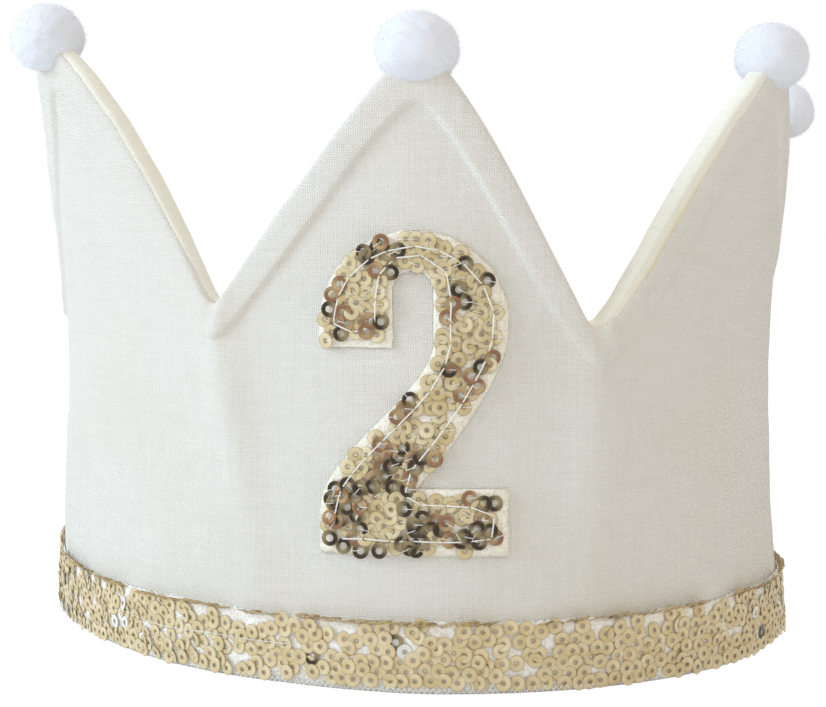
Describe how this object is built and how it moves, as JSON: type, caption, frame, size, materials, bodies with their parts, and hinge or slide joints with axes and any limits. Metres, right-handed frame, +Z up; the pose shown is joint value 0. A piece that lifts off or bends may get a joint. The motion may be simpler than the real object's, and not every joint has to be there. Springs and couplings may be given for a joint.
{
  "type": "fabric crown",
  "caption": "Padded cloth birthday crown with pointed edge, pom-poms on its tips, a sequin band and a sequinned figure 2.",
  "frame": {"origin": "centre of the crown's box, on the surface that its lower edge stands on", "axes": "+Z up, the front with the figure 2 faces -Y, +X to the right of someone who looks at the front"},
  "size_m": [0.1872, 0.1624, 0.129],
  "materials": {
    "shell_cloth": "plain-weave linen, off-white",
    "lining_cloth": "plain cotton, cream",
    "wadding": "stiff wadding",
    "net": "knitted net, off-white",
    "band_sequin": "metallic, champagne gold",
    "number_felt": "net over felt, cream",
    "number_sequin": "metallic, champagne gold to bronze",
    "thread": "white sewing thread",
    "elastic": "flat knitted elastic, off-white",
    "pompom": "fine fluffy fibre, white"
  },
  "bodies": {
    "root": {"outer_shell": "shell_cloth", "lining": "lining_cloth", "interlining": "wadding", "sequin_band": "net", "band_sequins": "band_sequin", "number_patch": "number_felt", "number_sequins": "number_sequin", "number_stitching": "thread", "elastic_stitching": "thread", "back_elastic": "elastic", "pompom_back_left": "pompom", "pompom_left": "pompom", "pompom_front": "pompom", "pompom_right": "pompom", "pompom_back_right": "pompom"}
  },
  "joints": []
}
